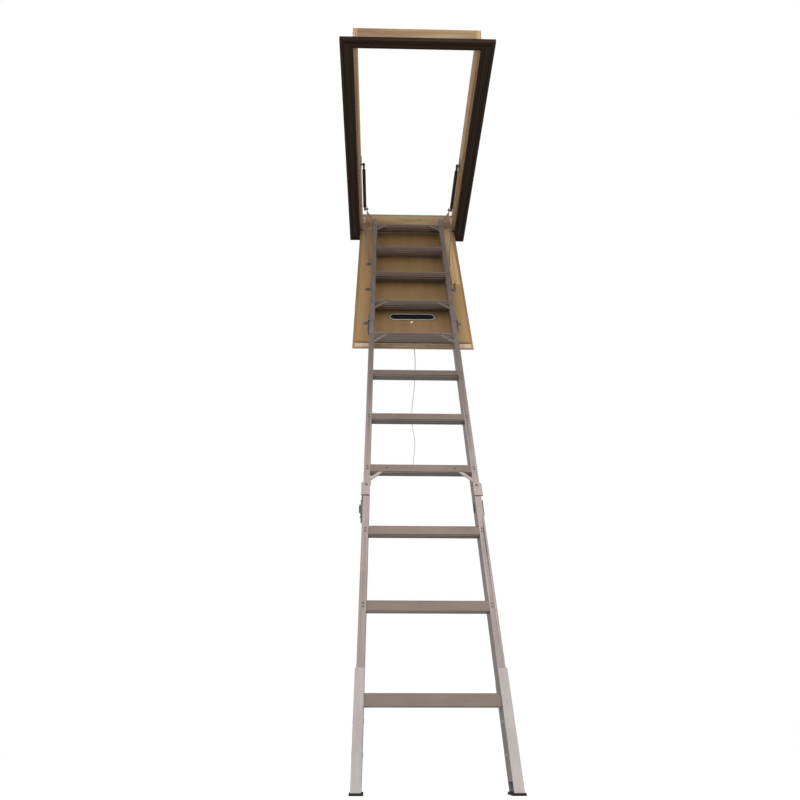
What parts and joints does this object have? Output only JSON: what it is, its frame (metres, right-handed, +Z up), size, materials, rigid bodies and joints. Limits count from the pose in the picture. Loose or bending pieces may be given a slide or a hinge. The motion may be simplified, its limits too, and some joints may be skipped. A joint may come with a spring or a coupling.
{
  "type": "attic ladder",
  "caption": "Folding aluminium attic ladder in a trimmed ceiling hatch, with a wooden door on gas struts, hinged sections, adjustable feet and a pull cord.",
  "frame": {"origin": "on the floor, under the middle of the object's footprint", "axes": "+Z up, +X to the climber's right, +Y from the climber towards the hatch door's hinge"},
  "size_m": [0.667, 1.8974, 2.9838],
  "materials": {
    "pine": "satin",
    "dark_trim": "satin",
    "door_wood": "satin",
    "step_aluminium": "satin",
    "rail_aluminium": "satin",
    "foot_aluminium": "satin",
    "shoe_rubber": "matte",
    "rod_steel": "polished",
    "strut_black": "gloss",
    "plate_black": "gloss",
    "tape_teal": "matte",
    "cord": "matte",
    "knob_plastic": "matte",
    "grommet_plastic": "matte",
    "hardware_steel": "satin"
  },
  "bodies": {
    "hatch_frame": {"frame_board_left": "pine", "frame_board_right": "pine", "frame_board_hinge_end": "pine", "frame_board_near_end": "pine", "frame_edge_tape": "tape_teal", "frame_screws": "hardware_steel", "trim_left": "dark_trim", "trim_right": "dark_trim", "trim_hinge_end": "dark_trim", "trim_near_end": "dark_trim", "door_hinge_frame_leaf": "hardware_steel", "door_hinge_pin": "hardware_steel", "strut_brackets": "hardware_steel"},
    "door": {"door_panel": "door_wood", "door_core": "door_wood", "door_hinge_door_leaf": "hardware_steel", "name_plate": "plate_black", "cord_grommet": "grommet_plastic", "door_brackets": "hardware_steel", "top_brackets": "hardware_steel", "strut_levers": "hardware_steel", "stay_rods": "hardware_steel", "upper_rail_left": "rail_aluminium", "upper_rail_right": "rail_aluminium", "step_08": "step_aluminium", "step_09": "step_aluminium", "step_10": "step_aluminium", "step_11": "step_aluminium", "upper_rivets": "hardware_steel", "upper_knee_braces": "hardware_steel", "upper_fold_top_leaves": "hardware_steel"},
    "pull_cord": {"pull_cord": "cord", "cord_knob": "knob_plastic"},
    "middle_section": {"middle_rail_left": "rail_aluminium", "middle_rail_right": "rail_aluminium", "step_04": "step_aluminium", "step_05": "step_aluminium", "step_06": "step_aluminium", "step_07": "step_aluminium", "middle_rivets": "hardware_steel", "middle_knee_braces": "hardware_steel", "upper_fold_bottom_leaves": "hardware_steel", "lower_fold_top_leaves": "hardware_steel", "fold_pins": "hardware_steel"},
    "lower_section": {"lower_rail_left": "rail_aluminium", "lower_rail_right": "rail_aluminium", "step_01": "step_aluminium", "step_02": "step_aluminium", "step_03": "step_aluminium", "lower_rivets": "hardware_steel", "lower_fold_bottom_leaves": "hardware_steel", "foot_bolts": "hardware_steel"},
    "foot_left": {"foot_sleeve_left": "foot_aluminium", "foot_shoe_left": "shoe_rubber"},
    "foot_right": {"foot_sleeve_right": "foot_aluminium", "foot_shoe_right": "shoe_rubber"},
    "strut_rod_left": {"strut_rod_left": "rod_steel"},
    "strut_rod_right": {"strut_rod_right": "rod_steel"},
    "strut_tube_left": {"strut_tube_left": "strut_black"},
    "strut_tube_right": {"strut_tube_right": "strut_black"}
  },
  "joints": [
    {"name": "door_hinge", "type": "hinge", "parent": "hatch_frame", "child": "door", "pos_m": [0, 0.88674, 2.878], "axis": [-1, 0, 0], "range_deg": [0, 54]},
    {"name": "upper_fold", "type": "hinge", "parent": "door", "child": "middle_section", "pos_m": [0, 0.19632, 1.89224], "axis": [1, 0, 0], "range_deg": [-100, 0]},
    {"name": "lower_fold", "type": "hinge", "parent": "middle_section", "child": "lower_section", "pos_m": [0, -0.35565, 0.83977], "axis": [1, 0, 0], "range_deg": [0, 180]},
    {"name": "foot_left_slide", "type": "slide", "parent": "lower_section", "child": "foot_left", "axis": [0, 0.5165, 0.8563], "range_m": [-0.1, 0.02]},
    {"name": "foot_right_slide", "type": "slide", "parent": "lower_section", "child": "foot_right", "axis": [0, 0.5165, 0.8563], "range_m": [-0.1, 0.02]},
    {"name": "cord_swing", "type": "hinge", "parent": "door", "child": "pull_cord", "pos_m": [-0.002, 0.32031, 1.91986], "axis": [1, 0, 0], "range_deg": [0, 54]},
    {"name": "strut_left_pivot", "type": "hinge", "parent": "hatch_frame", "child": "strut_rod_left", "pos_m": [-0.245, 0.35874, 2.913], "axis": [1, 0, 0], "range_deg": [0, 12.61]},
    {"name": "strut_left_stroke", "type": "slide", "parent": "strut_rod_left", "child": "strut_tube_left", "axis": [0, 1, 0.0077], "range_m": [0, 0.1054]},
    {"name": "strut_right_pivot", "type": "hinge", "parent": "hatch_frame", "child": "strut_rod_right", "pos_m": [0.245, 0.35874, 2.913], "axis": [1, 0, 0], "range_deg": [0, 12.61]},
    {"name": "strut_right_stroke", "type": "slide", "parent": "strut_rod_right", "child": "strut_tube_right", "axis": [0, 1, 0.0077], "range_m": [0, 0.1054]}
  ],
  "couplings": [
    {"joint": "cord_swing", "follows": "door_hinge", "ratio": 1},
    {"joint": "strut_left_pivot", "follows": "door_hinge", "ratio": 0.23253},
    {"joint": "strut_left_stroke", "follows": "door_hinge", "m_per_rad": 0.11126},
    {"joint": "strut_right_pivot", "follows": "door_hinge", "ratio": 0.23253},
    {"joint": "strut_right_stroke", "follows": "door_hinge", "m_per_rad": 0.11126}
  ]
}
